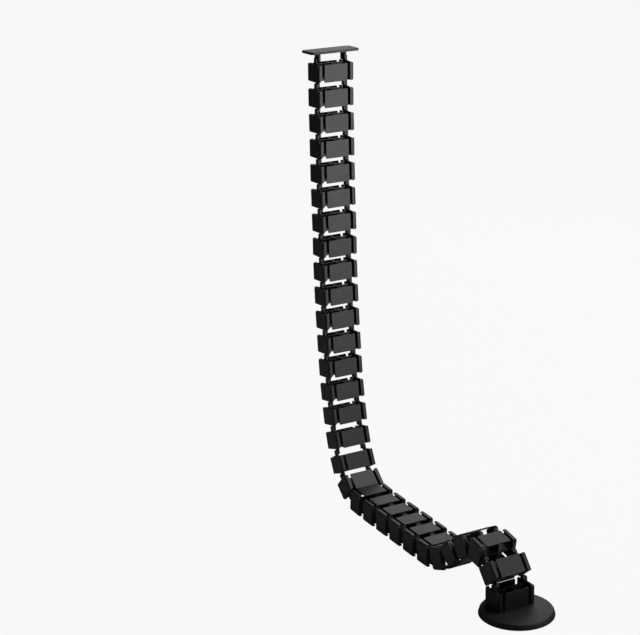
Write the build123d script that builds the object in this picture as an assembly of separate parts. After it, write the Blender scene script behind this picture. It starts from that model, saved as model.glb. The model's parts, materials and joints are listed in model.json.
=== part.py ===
from build123d import *
import os
from math import atan2, cos, hypot, radians, sin, tan

# A cable spine: moulded links, each pinned to the next, that carry a desk's cables from a bracket
# under the desk top down to the floor, along it, and over to a round weighted base.
# X is the links' width, the links' front panels face -Y, and Z is up. The origin is the middle
# of the bracket's upper face, where it meets the underside of the desk top.

# Link sizes, in millimetres
link_pitch = 43.3
link_width = 68.4
link_depth = 38.0
wall = 2.2
corner_cut = 2.5
panel_width = 44.2
slit = 5.0
divider = 2.0
web = 2.4
funnel_width = 5.5
funnel_depth = 4.2

# Knuckle sizes: each link's lower prongs carry pins that sit in the upper lugs of the next link
prong_inner = 23.2
prong_thickness = 3.3
lug_gap = 0.2
lug_thickness = 3.4
eye_radius = 4.0
pin_radius = 1.6
pin_width = 1.6
pin_clearance = 0.05
pin_recess = 0.2
bore_sides = 8
tip_cut = 1.8
root_flare = 2.5
root_rise = 2.0
root_depth = 8.0

# Bend of each joint, either way from straight, and the angle left there before the edges meet
bend_stop = 39.5
spare_angle = 0.5

# Lean of each link from hanging straight, in degrees, forwards at the lower end
column_leans = [-1, 0, 1, 0, 1, 1.5, 2, 0, 2.5, 3, 4.5, 5, 5.5, 8.5]
turn_leans = [11, 16.5, 25.5, 47]
floor_leans = [85, 87.5, 88, 87.5, 87.5, 88.5]
rise_leans = [110, 136, 117]
arch_leans = [78, 39]

# Desk bracket sizes
bracket_width = 92.0
bracket_depth = 38.0
bracket_thickness = 4.0
bracket_corner = 5.0
bracket_gap = 5.0
cheek_half = 7.5
screw_hole_radius = 2.25
screw_edge = 8.0

# Weighted base sizes
base_radius = 60.0
base_height = 9.8
base_forward = 18.5
rim_rise = 8.0
crown_inset = 1.8
rim_thickness = 4.4
cover_skin = 2.4
floor_gap = 0.6
pad_thickness = 2.2
fit_gap = 0.3

# Sizes that follow from the ones above
half_pitch = link_pitch / 2
panel_half = panel_width / 2
lip_edge = panel_half + slit
end_gap = link_depth / 2 * tan(radians(bend_stop + spare_angle) / 2)
link_top = half_pitch - end_gap
lug_inner = prong_inner + prong_thickness + lug_gap
bore_radius = pin_radius + pin_clearance
corner_reach = hypot(link_depth / 2, end_gap)
corner_angle = radians(bend_stop) - atan2(end_gap, link_depth / 2)
bracket_drop = corner_reach * sin(corner_angle) + bracket_gap
screw_spacing = bracket_width - 2 * screw_edge
leans = column_leans + turn_leans + floor_leans + rise_leans + arch_leans
over = 1.0


def down(lean):
    """Unit vector along a link towards the next one, for its lean in degrees."""
    return Vector(0, -sin(radians(lean)), -cos(radians(lean)))


def at(centre, lean):
    """Place of a piece whose own frame is centred at centre and leans forwards by lean."""
    return Location(tuple(centre), (-lean, 0, 0))


def chain():
    """Joint axes from the bracket to the base, the links' centres and the base's centre."""
    axis = Vector(0, 0, -bracket_thickness - bracket_drop)
    axes, centres = [axis], []
    for lean in leans:
        centres.append(axis + down(lean) * half_pitch)
        axis = axis + down(lean) * link_pitch
        axes.append(axis)
    return axes, centres, axis + down(0) * half_pitch


def mirrored(piece):
    """A piece with its copy on the other side of the spine's middle plane."""
    return piece + mirror(piece, about=Plane.YZ)


def crosswise(cutter):
    """A cutter at one front corner with its copies diagonally behind it and at the lower end."""
    both = cutter + Rot(0, 0, 180) * cutter
    return both + mirror(both, about=Plane.XY)


def link_plan():
    """Section across a link: two side walls with lips, a front and a back panel on a divider,
    and the web that ties them, which leaves four cable compartments open through slits."""
    plan = chamfer(Rectangle(link_width, link_depth).vertices(), corner_cut)
    plan -= Rectangle(link_width - 2 * wall, link_depth - 2 * wall)
    slits = Pos(panel_half + slit / 2, 0) * Rectangle(slit, link_depth + over)
    plan -= slits + mirror(slits, about=Plane.YZ)
    plan += Rectangle(divider, link_depth - wall)
    return plan + Rectangle(link_width - wall, web)


def funnels():
    """Cutters that widen two of the four slits into a vee at their ends, where a cable goes in:
    the left one seen from the front, and the one diagonally behind it."""
    rake = funnel_width / funnel_depth
    outline = Polyline(
        (-lip_edge, link_top + over),
        (-lip_edge, link_top - funnel_depth),
        (-lip_edge - funnel_width - rake * over, link_top + over),
        close=True,
    )
    skin = Pos(0, -link_depth / 2 + wall, 0) * (Plane.XZ * make_face(outline))
    cutter = extrude(skin, wall + over, dir=(0, -1, 0))
    return crosswise(cutter)


def ear(inner, thickness, root, drop, half_width=eye_radius, root_half=eye_radius + root_flare):
    """A flat ear standing up from a link's end to the joint axis at its own origin."""
    half = [
        (root_half, -root - drop),
        (half_width, -root + root_rise),
        (half_width, eye_radius - tip_cut),
        (half_width - tip_cut, eye_radius),
    ]
    outline = Polyline(*half, *[(-y, z) for y, z in reversed(half)], close=True)
    return extrude(Pos(inner, 0, 0) * (Plane.YZ * make_face(outline)), thickness, dir=(1, 0, 0))


def bar(section, start, end):
    """A bar of one section along X, on the joint axis."""
    return extrude(Pos(start, 0, 0) * (Plane.YZ * section), end - start, dir=(1, 0, 0))


def lugs(root, drop):
    """The two outer ears with bores, joint axis at the origin, standing up from below."""
    bore = RegularPolygon(bore_radius, bore_sides, major_radius=False)
    lug = ear(lug_inner, lug_thickness, root, drop)
    lug -= bar(bore, lug_inner - over, lug_inner + lug_thickness + over)
    return mirrored(lug)


def prongs(root, drop, *widths):
    """The two inner ears with outward pins, joint axis at the origin, hanging from above.
    A pin is round on top, where the next link's weight hangs on it, and flat elsewhere."""
    pin = Circle(pin_radius) & Pos(0, -pin_radius / 2) * Rectangle(pin_width, 2 * pin_radius)
    prong = ear(prong_inner, prong_thickness, root, drop, *widths)
    prong += bar(pin, prong_inner + prong_thickness, lug_inner + lug_thickness - pin_recess)
    return mirror(mirrored(prong), about=Plane.XY)


def link_body():
    """The moulded box of a link or of the base's socket, without its knuckles."""
    return extrude(link_plan(), link_top, both=True) - funnels()


def link():
    """One moulded link, upright, with its middle at the origin."""
    ends = half_pitch - link_top
    body = link_body() + Pos(0, 0, half_pitch) * lugs(ends, root_depth)
    return body + Pos(0, 0, -half_pitch) * prongs(ends, root_depth)


def desk_bracket(axis):
    """Screw plate under the desk top with two cheeks that carry the first joint's pins."""
    plan = chamfer(Rectangle(bracket_width, bracket_depth).vertices(), bracket_corner)
    for hole in GridLocations(screw_spacing, 0, 2, 1):
        plan -= hole * Circle(screw_hole_radius)
    plate = extrude(plan, bracket_thickness, dir=(0, 0, -1))
    return plate + Pos(*axis) * prongs(bracket_drop, over, cheek_half, cheek_half)


def base_profile():
    """Half section of the base's cover: a steep rim and a flat crown, hollow below."""
    inner = base_radius - rim_thickness
    return make_face(
        Polyline(
            (0, base_height),
            (base_radius - crown_inset, base_height),
            (base_radius, base_height - rim_rise),
            (base_radius, floor_gap),
            (inner, floor_gap),
            (inner, base_height - cover_skin),
            (0, base_height - cover_skin),
            close=True,
        )
    )


def base_cover(centre, floor):
    """Round cover of the weighted base, moulded in one with the socket for the last link."""
    disc = revolve(Plane.XZ * base_profile(), Axis.Z)
    disc = Pos(0, centre.Y - base_forward, floor) * disc
    socket = link_body() + Pos(0, 0, half_pitch) * lugs(half_pitch - link_top, root_depth)
    return disc + Pos(*centre) * socket


def disc_under(centre, radius, bottom, thickness):
    """A plain disc inside the base, in line with its cover."""
    place = Pos(0, centre.Y - base_forward, bottom + thickness / 2)
    return place * Cylinder(radius, thickness)


axes, centres, base_centre = chain()
floor_level = base_centre.Z - link_top - base_height
inside_radius = base_radius - rim_thickness - fit_gap
weight_thickness = base_height - cover_skin - pad_thickness

parts = {"desk_bracket": desk_bracket(axes[0])}
moulding = link()
for number, (centre, lean) in enumerate(zip(centres, leans), 1):
    parts[f"link_{number:02d}"] = at(centre, lean) * moulding
parts["base_cover"] = base_cover(base_centre, floor_level)
parts["base_weight"] = disc_under(
    base_centre, inside_radius, floor_level + pad_thickness, weight_thickness
)
parts["floor_pad"] = disc_under(base_centre, inside_radius, floor_level, pad_thickness)

os.makedirs("parts", exist_ok=True)
for name, piece in parts.items():
    export_step(piece, f"parts/{name}.step")
lowest = min(piece.bounding_box().min.Z for name, piece in parts.items() if "link" in name)
print("links", len(leans), "floor level", round(floor_level, 2), "lowest link", round(lowest, 2))
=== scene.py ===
# %% [markdown]
# # A jointed cable spine in Blender
# A cable spine is a chain of black moulded links. It hangs under a desk, turns at the floor,
# rises in a small arch and ends in a round weighted base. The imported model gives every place
# and every joint. This script dresses it: each link, the bracket and the base get a mesh with
# real radii and a fine moulded finish, and each one sits exactly where its solid is.

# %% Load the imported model
import json
from math import atan2, pi, radians

import bmesh
import bpy
from mathutils import Matrix, Vector


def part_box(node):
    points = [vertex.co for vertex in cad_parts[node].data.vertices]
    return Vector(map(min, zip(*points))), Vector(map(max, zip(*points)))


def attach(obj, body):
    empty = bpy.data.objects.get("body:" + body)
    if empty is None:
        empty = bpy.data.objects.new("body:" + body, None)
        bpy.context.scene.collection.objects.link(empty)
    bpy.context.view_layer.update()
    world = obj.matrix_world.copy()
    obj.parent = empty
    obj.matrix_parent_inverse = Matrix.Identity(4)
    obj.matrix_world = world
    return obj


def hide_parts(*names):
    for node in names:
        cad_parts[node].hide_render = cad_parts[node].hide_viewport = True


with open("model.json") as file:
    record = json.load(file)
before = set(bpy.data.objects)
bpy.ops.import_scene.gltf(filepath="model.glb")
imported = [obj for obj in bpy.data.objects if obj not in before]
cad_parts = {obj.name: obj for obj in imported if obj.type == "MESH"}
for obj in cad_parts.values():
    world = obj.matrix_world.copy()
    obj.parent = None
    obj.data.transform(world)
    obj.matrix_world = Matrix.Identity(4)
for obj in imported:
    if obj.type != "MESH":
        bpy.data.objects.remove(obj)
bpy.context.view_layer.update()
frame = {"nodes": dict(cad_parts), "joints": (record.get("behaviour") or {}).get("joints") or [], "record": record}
joints = {joint["name"]: joint for joint in frame["joints"]}

# %% [markdown]
# Everything in Blender is in metres, while a moulder thinks in millimetres. One factor turns
# one into the other, so the sizes below can be read as they would be on a drawing.

# %% Sizes of a link's walls
mm = 0.001
link_width = 68.4 * mm
link_depth = 38.0 * mm
wall = 2.2 * mm
corner_radius = 2.6 * mm
panel_width = 44.2 * mm
panel_corner = 1.6 * mm
slit = 5.0 * mm
lip_edge = panel_width / 2 + slit
divider = 2.0 * mm
web = 2.4 * mm
funnel_width = 6.0 * mm
funnel_depth = 4.2 * mm
end_round = 2.2 * mm
edge_round = 0.15 * mm
lip_round = 0.5 * mm
print("link", round(link_width / mm, 1), "by", round(link_depth / mm, 1), "mm")

# %% [markdown]
# Each link sits between two joints, so its middle and its lean can be read from the frame.
# How tall its walls are is measured on the second link, which hangs dead straight, so that
# the mesh and the solid can't drift apart.


# %% Places of the links
def joint_place(number):
    """The place of a joint's axis, in metres."""
    return Vector(joints[f"hinge_{number:02d}"]["pos_m"])


def link_place(number):
    """The matrix that puts an upright link, centred at the origin, between its two joints."""
    start, end = joint_place(number), joint_place(number + 1)
    along = end - start
    lean = atan2(-along.y, -along.z)
    return Matrix.Translation((start + end) / 2) @ Matrix.Rotation(-lean, 4, "X")


link_count = len(joints) - 1
pitch = (joint_place(2) - joint_place(1)).length
end_reach = pitch / 2
side_heights = [
    vertex.co.z for vertex in frame["nodes"]["link_02"].data.vertices
    if vertex.co.x > link_width / 2 - wall / 2
]
link_top = (max(side_heights) - min(side_heights)) / 2
print("links", link_count, "pitch", round(pitch / mm, 2))
print("wall height", round(2 * link_top / mm, 2))

# %% [markdown]
# ## Mesh helpers
# Every moulded form here is a thin wall with small radii on its edges. So the helpers do what
# a moulder would ask for: fill an outline, give it a thickness, round what is sharp, and copy
# it to the other side. The work is left to Blender's own mesh operators. Where two roundings
# meet in one point, its doubles are welded, so that no face is left without a size.


# %% Outlines and walls
weld_distance = 0.001 * mm
sharp_angle = radians(35)


def new_chain(mesh, points, closed=False):
    """New vertices at the points, joined one to the next by edges."""
    verts = [mesh.verts.new(point) for point in points]
    pairs = list(zip(verts, verts[1:]))
    if closed:
        pairs.append((verts[-1], verts[0]))
    edges = [mesh.edges.new(pair) for pair in pairs]
    return verts, edges


def pull(mesh, geometry, vector):
    """Extrudes faces or edges by a vector."""
    if isinstance(geometry[0], bmesh.types.BMFace):
        made = bmesh.ops.extrude_face_region(mesh, geom=geometry)["geom"]
    else:
        made = bmesh.ops.extrude_edge_only(mesh, edges=geometry)["geom"]
    moved = [part for part in made if isinstance(part, bmesh.types.BMVert)]
    bmesh.ops.translate(mesh, verts=moved, vec=vector)


def weld(mesh):
    """Merges the points that lie on each other."""
    bmesh.ops.remove_doubles(mesh, verts=mesh.verts[:], dist=weld_distance)


def outward(mesh):
    """Points every face of the mesh outwards."""
    bmesh.ops.recalc_face_normals(mesh, faces=mesh.faces[:])


def round_edges(mesh, radius, segments=2):
    """Rounds every sharp edge and welds the points that two roundings share."""
    sharp = [
        edge for edge in mesh.edges
        if len(edge.link_faces) == 2 and edge.calc_face_angle() > sharp_angle
    ]
    bmesh.ops.bevel(
        mesh, geom=sharp, offset=radius, segments=segments, affect="EDGES",
        profile=0.5, material=-1, clamp_overlap=True,
    )
    weld(mesh)


print("outline helpers ready")

# %% [markdown]
# A finished part goes into the mesh of its whole once at each place. A place with a negative
# scale is a mirror. It would turn the part inside out, so its faces are flipped back.


# %% Put parts together
def add_part(whole, part, *places):
    """Adds a finished part to a mesh, once at each place, and frees the part."""
    loose = bpy.data.meshes.new("part")
    part.to_mesh(loose)
    part.free()
    for place in places:
        turned = loose.copy()
        turned.transform(place)
        if place.determinant() < 0:
            turned.flip_normals()
        whole.from_mesh(turned)
        bpy.data.meshes.remove(turned)
    bpy.data.meshes.remove(loose)


def triangle_count(part):
    """How many triangles a part's faces make. The part is freed."""
    count = sum(len(face.verts) - 2 for face in part.faces)
    part.free()
    return count


as_made = Matrix.Identity(4)
half_turn = Matrix.Rotation(pi, 4, "Z")
other_side = Matrix.Scale(-1, 4, (1, 0, 0))
other_face = Matrix.Scale(-1, 4, (0, 1, 0))
other_end = Matrix.Scale(-1, 4, (0, 0, 1))
print("part helpers ready")

# %% [markdown]
# ## The link's walls
# Seen from above, a link is two C-shaped side walls with lips, and a front and a back panel
# that a divider holds. Between lip and panel runs a slit, through which a cable is pushed in.
# At the lower end two of the four lips, diagonally across, are cut away slantwise to lead a
# cable in. A C is one strip of faces. It is bent at its two upright edges and its ends are
# drawn in a little in the middle of each bend, which rounds the link's corners. The cut lip's
# lower end is slid up along the slant, and then the strip is thickened.


# %% Side wall with lips
def side_wall(low, high, eased_low, funnel_low):
    """The C-shaped side wall at +X, from low to high. Its back lip is cut slantwise below."""
    part = bmesh.new()
    side, face = link_width / 2, link_depth / 2
    plan = [(lip_edge, -face, low), (side, -face, low), (side, face, low), (lip_edge, face, low)]
    _, edges = new_chain(part, plan)
    pull(part, edges, (0, 0, high - low))
    upright = [edge for edge in part.edges if len(edge.link_faces) == 2]
    bmesh.ops.bevel(
        part, geom=upright, offset=corner_radius, segments=5, affect="EDGES",
        profile=0.5, material=-1,
    )
    for vert in part.verts:
        upper = vert.co.z > (low + high) / 2
        along_side = max(0, vert.co.x - side + corner_radius) / corner_radius
        along_face = max(0, abs(vert.co.y) - face + corner_radius) / corner_radius
        # Their product is a half in the middle of a bend and nothing at its ends.
        drop = 2 * along_side * along_face * (end_round if upper else eased_low)
        if vert.co.y > 0 and not upper:
            cut = max(0, 1 - (vert.co.x - lip_edge) / funnel_width)
            drop = max(drop, cut * funnel_low)
        vert.co.z -= drop if upper else -drop
    turn_strip_outward(part)
    bmesh.ops.solidify(part, geom=part.faces[:], thickness=wall)
    outward(part)
    round_edges(part, lip_round)
    return part


def turn_strip_outward(part):
    """Turns an open strip so that its faces look away from the link's middle."""
    part.normal_update()
    inward = [face for face in part.faces if face.normal.dot(face.calc_center_median()) < 0]
    bmesh.ops.reverse_faces(part, faces=inward)


print("side wall triangles", triangle_count(side_wall(-link_top, link_top, 0.0, 0.0)))

# %% [markdown]
# A panel is a flat plate. Its four corners are rounded where the slits open beside them, and
# all its edges have a small radius, which catches the light as the thin bright lines that
# frame each panel. The divider and the web are plain ribs behind it.


# %% Panels, divider and web
def panel(low, high):
    """The front panel, from low to high."""
    part = bmesh.new()
    bmesh.ops.create_grid(part, x_segments=1, y_segments=1, size=0.5)
    bmesh.ops.scale(part, verts=part.verts[:], vec=(panel_width, high - low, 1))
    bmesh.ops.bevel(
        part, geom=part.verts[:], offset=panel_corner, segments=4, affect="VERTICES",
        profile=0.5, material=-1,
    )
    pull(part, part.faces[:], (0, 0, wall))
    place = Matrix.Translation((0, -link_depth / 2 + wall, (low + high) / 2))
    part.transform(place @ Matrix.Rotation(pi / 2, 4, "X"))
    outward(part)
    round_edges(part, edge_round, segments=3)
    return part


def rib(width, depth, low, high):
    """A straight rib in the middle of the link, rounded along its free edges."""
    part = bmesh.new()
    bmesh.ops.create_cube(part, size=1)
    bmesh.ops.scale(part, verts=part.verts[:], vec=(width, depth, high - low))
    bmesh.ops.translate(part, verts=part.verts[:], vec=(0, 0, (low + high) / 2))
    round_edges(part, edge_round)
    return part


def add_box(whole, low, high, eased_low, funnel_low):
    """Adds a link's walls: two sides, two panels, the divider and the web."""
    add_part(whole, side_wall(low, high, eased_low, funnel_low), as_made, half_turn)
    add_part(whole, panel(low, high), as_made, other_face)
    add_part(whole, rib(divider, link_depth - wall, low, high), as_made)
    add_part(whole, rib(link_width - wall, web, low, high), as_made)


print("panel triangles", triangle_count(panel(-link_top, link_top)))

# %% [markdown]
# ## The knuckles
# At its lower end a link has two prongs, each with a pin that points outwards. The pins sit in
# the bores of the next link's lugs. An ear is a flat outline: its tip has two large radii, its
# sides run down to a wider root, and the bore is a circle that the fill leaves open.

# %% Sizes of the knuckles
eye_radius = 4.0 * mm
tip_round = 2.2 * mm
root_half = 6.5 * mm
root_rise = 2.0 * mm
root_depth = 8.0 * mm
prong_inner = 23.2 * mm
prong_thickness = 3.3 * mm
lug_inner = 26.7 * mm
lug_thickness = 3.4 * mm
pin_radius = 1.6 * mm
pin_recess = 0.2 * mm
bore_radius = 1.75 * mm
circle_steps = 24
wall_end = link_top - end_reach
ear_foot = wall_end - root_depth
ear_shoulder = wall_end + root_rise
print("from joint to wall", round(-wall_end / mm, 2), "mm")


# %% Ears and pins
def ear_outline(part, half_width, root_width, foot, shoulder):
    """Draws an ear's outline in the Y-Z plane, with its eye at the origin."""
    points = [
        (0, half_width, eye_radius), (0, -half_width, eye_radius), (0, -half_width, shoulder),
        (0, -root_width, foot), (0, root_width, foot), (0, half_width, shoulder),
    ]
    verts, _ = new_chain(part, points, closed=True)
    bmesh.ops.bevel(
        part, geom=verts[:2], offset=tip_round, segments=5, affect="VERTICES",
        profile=0.5, material=-1,
    )


def ear(inner, thickness, foot, shoulder, bore=0.0, half_width=eye_radius, root_width=root_half):
    """An ear that stands up to its eye at the origin. With a bore it is a lug."""
    part = bmesh.new()
    ear_outline(part, half_width, root_width, foot, shoulder)
    if bore:
        turn = Matrix.Rotation(pi / 2, 4, "Y")
        bmesh.ops.create_circle(
            part, cap_ends=False, segments=circle_steps, radius=bore, matrix=turn
        )
    bmesh.ops.triangle_fill(part, use_beauty=True, use_dissolve=False, edges=part.edges[:])
    pull(part, part.faces[:], (thickness, 0, 0))
    bmesh.ops.translate(part, verts=part.verts[:], vec=(inner, 0, 0))
    outward(part)
    round_edges(part, edge_round)
    return part


def pin(start, end):
    """A pin along +X on the joint axis, rounded at its ends."""
    part = bmesh.new()
    bmesh.ops.create_cone(
        part, cap_ends=True, segments=circle_steps, radius1=pin_radius, radius2=pin_radius,
        depth=end - start,
    )
    middle = Matrix.Translation(((start + end) / 2, 0, 0))
    part.transform(middle @ Matrix.Rotation(pi / 2, 4, "Y"))
    outward(part)
    round_edges(part, edge_round)
    return part


print("lug triangles", triangle_count(ear(0, lug_thickness, ear_foot, ear_shoulder, bore_radius)))

# %% [markdown]
# An ear alone would snap off at its root. So a moulder lets the wall below it flare out on the
# ear's outer side. The flare is a block whose top is drawn in, until it ends on the ear just
# under the eye. It reaches a little into the ear and into the wall, so that no gap shows.

# %% Flare beside an ear
eye_gap = 0.8 * mm
skirt_half = 15.0 * mm
skirt_end = 33.0 * mm
skirt_bite = 0.15 * mm
skirt_sink = 0.3 * mm
skirt_round = 0.075 * mm


def skirt(start, end):
    """The flare between an ear's root and the side wall, with the joint above it."""
    part = bmesh.new()
    bmesh.ops.create_cube(part, size=2)
    for vert in part.verts:
        upper, outer = vert.co.z > 0, vert.co.x > 0
        vert.co.x = (start + skirt_bite if upper else end) if outer else start - skirt_bite
        vert.co.y *= eye_radius if upper else skirt_half
        vert.co.z = -eye_radius - eye_gap if upper else wall_end - skirt_sink
    round_edges(part, skirt_round)
    return part


def add_lugs(whole):
    """Adds the two lugs at a link's upper end, with their flares."""
    place = Matrix.Translation((0, 0, end_reach))
    lug = ear(lug_inner, lug_thickness, ear_foot, ear_shoulder, bore_radius)
    add_part(whole, lug, place, other_side @ place)
    add_part(whole, skirt(lug_inner + lug_thickness, skirt_end), place, other_side @ place)


def add_prongs(whole, place, foot, shoulder, **widths):
    """Adds two prongs with pins that hang from above to their eyes."""
    hanging = place @ other_end
    prong = ear(prong_inner, prong_thickness, foot, shoulder, **widths)
    add_part(whole, prong, hanging, other_side @ hanging)
    tip = pin(prong_inner + prong_thickness / 2, lug_inner + lug_thickness - pin_recess)
    add_part(whole, tip, place, other_side @ place)


print("flare triangles", triangle_count(skirt(lug_inner + lug_thickness, skirt_end)))

# %% [markdown]
# ## Twenty-nine links from one mould
# A link is moulded once and copied, as in the factory. A finished piece has its place in its
# mesh and its object at the origin, so the copy's mesh is moved, and the piece then rides on
# its link's body, where it stands for the solid. Small roundings are shaded smooth and broad
# faces flat, so that a flat wall stays evenly shaded between its rounded edges.

# %% Make pieces out of meshes
broad_face = 4.0 * mm
smooth_angle = radians(40)


def mesh_of(whole, name):
    """A shaded mesh from a working mesh, which is freed."""
    narrow = [
        face.calc_area() / max(edge.calc_length() for edge in face.edges) < broad_face
        for face in whole.faces
    ]
    mesh = bpy.data.meshes.new(name)
    whole.to_mesh(mesh)
    whole.free()
    mesh.set_sharp_from_angle(angle=smooth_angle)
    # This comes last, because the call above makes every face smooth.
    mesh.polygons.foreach_set("use_smooth", narrow)
    return mesh


def piece(name, mesh, body, *nodes):
    """An object of a finished mesh that rides on a body and stands for its nodes."""
    mesh.name = name
    thing = bpy.data.objects.new(name, mesh)
    bpy.context.scene.collection.objects.link(thing)
    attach(thing, body)
    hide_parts(*nodes)
    return thing


# %% The mould
mould = bmesh.new()
add_box(mould, -link_top, link_top, end_round, funnel_depth)
add_lugs(mould)
lower_joint = Matrix.Translation((0, 0, -end_reach))
add_prongs(mould, lower_joint, ear_foot, ear_shoulder)
hanging = lower_joint @ other_end
add_part(mould, skirt(prong_inner + prong_thickness, skirt_end), hanging, other_side @ hanging)
link_mesh = mesh_of(mould, "link")
print("link triangles", sum(len(polygon.vertices) - 2 for polygon in link_mesh.polygons))

# %% The links
links = []
for number in range(1, link_count + 1):
    copy = link_mesh.copy()
    copy.transform(link_place(number))
    node = f"link_{number:02d}"
    links.append(piece(f"{node}_moulding", copy, node, node))
print("links", len(links))

# %% [markdown]
# ## The desk bracket
# The bracket is a flat plate with rounded corners. Two deep cheeks hang from it and carry the
# first joint's pins. Two screws go up through it into the desk top. The plate is an outline
# with two circles in it, which the fill leaves open as the screw holes.

# %% Bracket
plate_low, plate_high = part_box("desk_bracket")
screw_mount = next(m for m in frame["record"]["mounts"] if m["name"] == "desk_screws")
screw_radius = screw_mount["dims"]["hole_r_mm"] * mm
screw_reach = screw_mount["dims"]["spacing_x_mm"] * mm / 2
plate_thickness = 4.0 * mm
plate_corner = 5.0 * mm
cheek_half = 7.5 * mm


def bracket_plate():
    """The screw plate, its upper face at z = 0."""
    part = bmesh.new()
    bmesh.ops.create_grid(part, x_segments=1, y_segments=1, size=0.5)
    width, depth = plate_high[0] - plate_low[0], plate_high[1] - plate_low[1]
    bmesh.ops.scale(part, verts=part.verts[:], vec=(width, depth, 1))
    bmesh.ops.bevel(
        part, geom=part.verts[:], offset=plate_corner, segments=6, affect="VERTICES",
        profile=0.5, material=-1,
    )
    bmesh.ops.delete(part, geom=part.faces[:], context="FACES_ONLY")
    for x in (-screw_reach, screw_reach):
        bmesh.ops.create_circle(
            part, cap_ends=False, segments=circle_steps, radius=screw_radius,
            matrix=Matrix.Translation((x, 0, 0)),
        )
    bmesh.ops.triangle_fill(part, use_beauty=True, use_dissolve=False, edges=part.edges[:])
    pull(part, part.faces[:], (0, 0, -plate_thickness))
    outward(part)
    round_edges(part, edge_round)
    return part


bracket_mesh = bmesh.new()
add_part(bracket_mesh, bracket_plate(), as_made)
first_axis = joint_place(1)
cheek_foot = first_axis.z + plate_thickness / 2
add_prongs(
    bracket_mesh, Matrix.Translation(first_axis), cheek_foot, -eye_radius,
    half_width=cheek_half, root_width=cheek_half,
)
bracket = piece("bracket_moulding", mesh_of(bracket_mesh, "bracket"), "bracket", "desk_bracket")
print("first joint", round(-first_axis.z / mm, 2), "mm below the desk")

# %% [markdown]
# ## The base
# The base's cover is a disc with a steep rim, a sloping shoulder and a flat crown, moulded in
# one with a socket that is made like a link. A profile is spun round the disc's own axis, so
# the rim, the shoulder and the crown come out as one clean surface. The disc is a hair smaller
# than its solid, because a round shape of many short sides may reach out past one of fewer.

# %% Sizes of the base
cover_low, cover_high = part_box("base_cover")
floor_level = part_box("floor_pad")[0].z
base_middle = (cover_low.y + cover_high.y) / 2
hair = 0.03 * mm
base_radius = (cover_high.x - cover_low.x) / 2 - hair
socket_place = joint_place(link_count + 1) - Vector((0, 0, end_reach))
crown_level = socket_place.z - link_top - hair
shoulder_inset = 4.0 * mm
shoulder_drop = 2.4 * mm
rim_inset = 1.8 * mm
rim_rise = 8.0 * mm
rim_radius = 0.7 * mm
rim_thickness = 4.4 * mm
cover_skin = 2.4 * mm
disc_steps = 96
print("base radius", round(base_radius / mm, 1), "floor", round(floor_level / mm, 2))


# %% Base cover
def base_disc():
    """The disc of the cover, hollow below, spun about its own axis."""
    part = bmesh.new()
    inside = base_radius - rim_thickness
    foot = cover_low.z
    profile = [
        (0, 0, crown_level), (base_radius - shoulder_inset, 0, crown_level),
        (base_radius - rim_inset, 0, crown_level - shoulder_drop),
        (base_radius, 0, crown_level - rim_rise), (base_radius, 0, foot),
        (inside, 0, foot), (inside, 0, crown_level - cover_skin), (0, 0, crown_level - cover_skin),
    ]
    verts, _ = new_chain(part, profile)
    bmesh.ops.bevel(
        part, geom=verts[1:-1], offset=rim_radius, segments=3, affect="VERTICES",
        profile=0.5, material=-1,
    )
    bmesh.ops.spin(
        part, geom=part.verts[:] + part.edges[:], axis=(0, 0, 1), cent=(0, 0, 0),
        angle=2 * pi, steps=disc_steps, dvec=(0, 0, 0), use_merge=True, use_duplicate=False,
    )
    weld(part)
    bmesh.ops.translate(part, verts=part.verts[:], vec=(0, base_middle, 0))
    outward(part)
    return part


base_mesh = bmesh.new()
add_box(base_mesh, -link_top, link_top, 0.0, 0.0)
add_lugs(base_mesh)
bmesh.ops.translate(base_mesh, verts=base_mesh.verts[:], vec=socket_place)
add_part(base_mesh, base_disc(), as_made)
base = piece("base_moulding", mesh_of(base_mesh, "base"), "base", "base_cover")
print("base triangles", sum(len(polygon.vertices) - 2 for polygon in base.data.polygons))

# %% [markdown]
# ## Finishes
# Shader maths reads best as plain expressions. The small class Wire wraps a socket, so that a
# sum or a product of two sockets adds its Math node by itself. Every other node comes from one
# method, which sets the node's options first and then its inputs.


# %% Shader helpers
class Wire:
    """A socket in a node tree, with arithmetic."""

    def __init__(self, nodes, socket):
        self.nodes = nodes
        self.socket = socket

    def maths(self, operation, *values):
        """The result of a Math node on values or wires."""
        inputs = dict(enumerate(values))
        return self.nodes.node("ShaderNodeMath", {"operation": operation}, inputs)

    def __add__(self, other):
        return self.maths("ADD", self, other)

    def __mul__(self, other):
        return self.maths("MULTIPLY", self, other)

    __radd__ = __add__
    __rmul__ = __mul__


class Nodes:
    """A node tree that is built node by node."""

    def __init__(self, tree):
        self.tree = tree

    def node(self, kind, settings=None, inputs=None, output=0):
        """Adds a node, sets its options or a ramp's stops, then its inputs. Returns one output."""
        made = self.tree.nodes.new(kind)
        for name, value in (settings or {}).items():
            if name == "stops":
                for element, (position, colour) in zip(made.color_ramp.elements, value):
                    element.position, element.color = position, (*colour, 1)
            else:
                setattr(made, name, value)
        self.feed(made, inputs or {})
        return Wire(self, made.outputs[output])

    def feed(self, node, inputs):
        """Sets or links the inputs of a node."""
        for key, value in inputs.items():
            if isinstance(value, Wire):
                self.tree.links.new(value.socket, node.inputs[key])
            else:
                node.inputs[key].default_value = value


print("node helpers ready")

# %% [markdown]
# A finish is a material's nodes. Its patterns are laid out in object coordinates, in metres, so
# the size of a lump or a grain can be given as it would be measured on the moulding.


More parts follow.
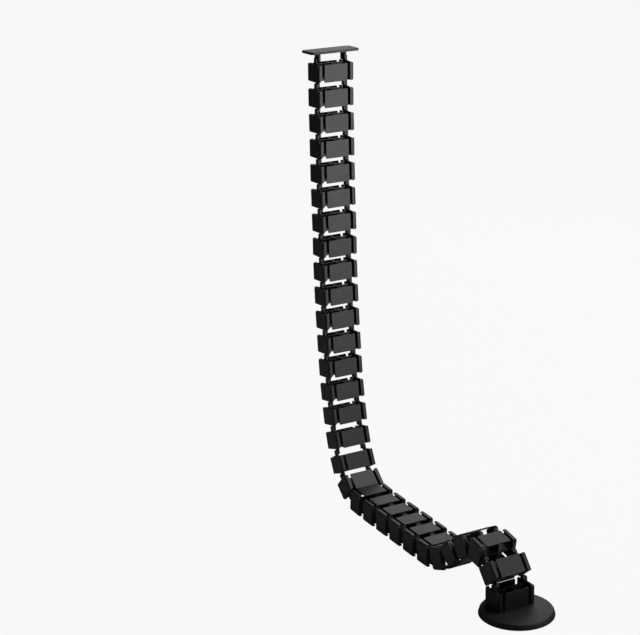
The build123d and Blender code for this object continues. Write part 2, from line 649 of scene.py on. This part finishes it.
# %% Finishes of materials
class Finish(Nodes):
    """A material that is built node by node."""

    def __init__(self, name):
        self.material = bpy.data.materials.new(name)
        self.material.use_nodes = True
        super().__init__(self.material.node_tree)
        self.shader = self.tree.nodes["Principled BSDF"]

    def place(self):
        """Object coordinates, in metres."""
        return self.node("ShaderNodeTexCoord", output="Object")

    def noise(self, place, size, detail):
        """Soft noise whose lumps are about a size across, in metres."""
        return self.node(
            "ShaderNodeTexNoise", {"noise_dimensions": "3D"},
            {"Vector": place, "Scale": 1 / size, "Detail": detail, "Roughness": 0.5},
        )

    def shades(self, factor, *stops):
        """A colour that follows a factor between two stops, each a place and a colour."""
        return self.node("ShaderNodeValToRGB", {"stops": stops}, {"Fac": factor})

    def bumps(self, height, depth):
        """A normal that follows a height of 0 to 1, that deep in metres."""
        inputs = {"Height": height, "Distance": depth, "Strength": 1.0}
        return self.node("ShaderNodeBump", inputs=inputs)


print("finish helpers ready")

# %% [markdown]
# The whole spine is black plastic with a fine spark-eroded grain, which breaks reflections up
# into a soft sheen. Under it lies a slower unevenness: the skin of a moulding is never quite
# the same shade or gloss over its length.

# %% Moulded plastic
plastic_grain = 0.45 * mm
plastic_cloud = 14 * mm
plastic_grain_depth = 0.03 * mm


def moulded_plastic(name, dark, light, dullness, specular=0.5):
    """Black plastic with a fine grain. Cloud and grain make it a little duller in places."""
    finish = Finish(name)
    place = finish.place()
    grain = finish.noise(place, plastic_grain, 3.0)
    cloud = finish.noise(place, plastic_cloud, 2.0)
    finish.feed(finish.shader, {
        "Base Color": finish.shades(cloud, (0.3, dark), (0.7, light)),
        "Roughness": dullness + cloud * 0.08 + grain * 0.06,
        "Normal": finish.bumps(grain, plastic_grain_depth),
        "Specular IOR Level": specular,
    })
    return finish.material


link_black = moulded_plastic("link_black", (0.010, 0.010, 0.011), (0.014, 0.014, 0.015), 0.38)
base_black = moulded_plastic("base_black", (0.004, 0.004, 0.005), (0.006, 0.006, 0.007), 0.45, 0.4)
bracket_black = moulded_plastic("bracket_black", (0.009, 0.009, 0.010), (0.013, 0.013, 0.014), 0.40)
for thing in links:
    thing.data.materials.append(link_black)
bracket.data.materials.append(bracket_black)
base.data.materials.append(base_black)
print("plastic finishes", len(bpy.data.materials))

# %% [markdown]
# Two pieces hide inside the base and keep their solids: a steel plate for weight and a rubber
# pad that keeps the base from sliding. They get their own finishes, because they show as soon
# as someone turns the base over.

# %% Steel and rubber
steel_marks = 0.6 * mm
steel_mark_depth = 0.02 * mm
rubber_dust = 6 * mm
rubber_pores = 0.3 * mm
rubber_pore_depth = 0.06 * mm


def mill_steel():
    """Plain rolled steel plate, with faint rolling marks along X."""
    finish = Finish("weight_steel")
    stretched = finish.node(
        "ShaderNodeMapping", {"vector_type": "POINT"},
        {"Vector": finish.place(), "Scale": (0.08, 1, 1)},
    )
    marks = finish.noise(stretched, steel_marks, 4.0)
    dark, light = (0.36, 0.36, 0.37), (0.52, 0.52, 0.53)
    finish.feed(finish.shader, {
        "Base Color": finish.shades(marks, (0.25, dark), (0.75, light)),
        "Metallic": 1.0,
        "Roughness": 0.32 + marks * 0.2,
        "Normal": finish.bumps(marks, steel_mark_depth),
    })
    return finish.material


def pad_rubber():
    """Matt black rubber with a dusty mottle."""
    finish = Finish("pad_rubber")
    place = finish.place()
    dust = finish.noise(place, rubber_dust, 5.0)
    pores = finish.noise(place, rubber_pores, 2.0)
    clean, dusty = (0.016, 0.016, 0.016), (0.030, 0.029, 0.028)
    finish.feed(finish.shader, {
        "Base Color": finish.shades(dust, (0.35, clean), (0.75, dusty)),
        "Roughness": 0.78 + pores * 0.15,
        "Normal": finish.bumps(pores, rubber_pore_depth),
    })
    return finish.material


for node, material in (("base_weight", mill_steel()), ("floor_pad", pad_rubber())):
    thing = frame["nodes"][node]
    thing.data.materials.clear()
    thing.data.materials.append(material)
print("hidden pieces dressed")

# %% [markdown]
# ## Stage, light and camera
# The floor is pale and plain and lies under the pad. To the camera the floor and the sky are
# nearly white, as a studio sweep is, while the sky lights the spine only faintly. The floor
# mixes a glow that the camera alone sees with its own grey, so that it keeps a soft shadow.

# %% Floor
floor_size = 60.0
floor_grey = 0.35
floor_glow = 0.93


def pale_floor():
    """A floor that looks white to the camera and still shows a soft shadow."""
    finish = Finish("floor")
    grey = (floor_grey, floor_grey, floor_grey, 1)
    finish.feed(finish.shader, {"Base Color": grey, "Roughness": 0.9})
    lit = Wire(finish, finish.shader.outputs[0])
    glow = finish.node("ShaderNodeEmission", {}, {"Color": (1, 1, 1, 1), "Strength": 1.0})
    to_camera = finish.node("ShaderNodeLightPath", output="Is Camera Ray")
    mixed = finish.node("ShaderNodeMixShader", {}, {0: to_camera * floor_glow, 1: lit, 2: glow})
    finish.feed(finish.tree.nodes["Material Output"], {"Surface": mixed})
    return finish.material


floor_mesh = bmesh.new()
bmesh.ops.create_grid(floor_mesh, x_segments=1, y_segments=1, size=floor_size / 2)
bmesh.ops.translate(floor_mesh, verts=floor_mesh.verts[:], vec=(0, 0, floor_level))
floor = bpy.data.objects.new("floor", mesh_of(floor_mesh, "floor"))
bpy.context.scene.collection.objects.link(floor)
floor.data.materials.append(pale_floor())
print("floor at", round(floor_level / mm, 2), "mm")

# %% Sky
sky_light = 0.08
sky_to_camera = 0.94
world = bpy.data.worlds.new("studio")
world.use_nodes = True
sky = Nodes(world.node_tree)
camera_ray = sky.node("ShaderNodeLightPath", output="Is Camera Ray")
sky.feed(sky.tree.nodes["Background"], {
    "Color": (1, 1, 1, 1),
    "Strength": camera_ray * (sky_to_camera - sky_light) + sky_light,
})
bpy.context.scene.world = world
print("sky", sky_light, "to the camera", sky_to_camera)

# %% [markdown]
# What looks grey on black plastic is what it mirrors, so each lamp is placed where a group of
# faces mirrors it towards the camera. A glow that lies low in front to the right is for the
# upper panels, and the lamps above and behind are for the links that lie on the floor.


# %% Lamps
def softbox(name, place, aim, size, radiance):
    """A square area lamp that points at a place and shines evenly with a radiance."""
    lamp = bpy.data.lights.new(name, "AREA")
    lamp.shape = "SQUARE"
    lamp.size = size
    lamp.energy = radiance * pi * size ** 2
    thing = bpy.data.objects.new(name, lamp)
    bpy.context.scene.collection.objects.link(thing)
    thing.location = place
    thing.rotation_mode = "QUATERNION"
    thing.rotation_quaternion = (Vector(aim) - Vector(place)).to_track_quat("-Z", "Y")


spine_middle = (0, -0.25, -0.45)
softbox("low_glow", (1.5, -2.7, -0.78), (1.5, -2.7, 0), 2.2, 9.0)
softbox("front_right", (1.3, -2.1, 0.1), spine_middle, 1.3, 1.6)
softbox("overhead", (1.1, -0.7, 1.5), spine_middle, 1.8, 3.0)
softbox("back_right", (1.6, 1.3, 0.5), spine_middle, 2.0, 1.1)
print("lamps", len(bpy.data.lights))

# %% [markdown]
# The camera stands in front to the left, a little above, and looks down along the column. Its
# place and angles were fitted to the corners of the links. The place is given from the first
# link's middle, as the camera sees it: to the right, up and towards the camera.

# %% Camera
frame_width = 640
focal_pixels = 1756.09
camera_azimuth = radians(-29.151)
camera_elevation = radians(17.301)
camera_roll = radians(-1.158)
camera_offset = Vector((-17.889, -414.909, 2958.693)) * mm
lens = bpy.data.cameras.new("camera")
lens.sensor_width = 36.0
lens.lens = focal_pixels / frame_width * lens.sensor_width
lens.clip_end = 100.0
camera = bpy.data.objects.new("camera", lens)
bpy.context.scene.collection.objects.link(camera)
turn = (
    Matrix.Rotation(camera_azimuth, 4, "Z")
    @ Matrix.Rotation(pi / 2 - camera_elevation, 4, "X")
    @ Matrix.Rotation(camera_roll, 4, "Z")
)
first_link = (joint_place(1) + joint_place(2)) / 2
camera.matrix_world = Matrix.Translation(first_link + turn.to_3x3() @ camera_offset) @ turn
bpy.context.scene.camera = camera
bpy.context.scene.view_settings.view_transform = "Standard"
print("lens", round(lens.lens, 2), "mm")
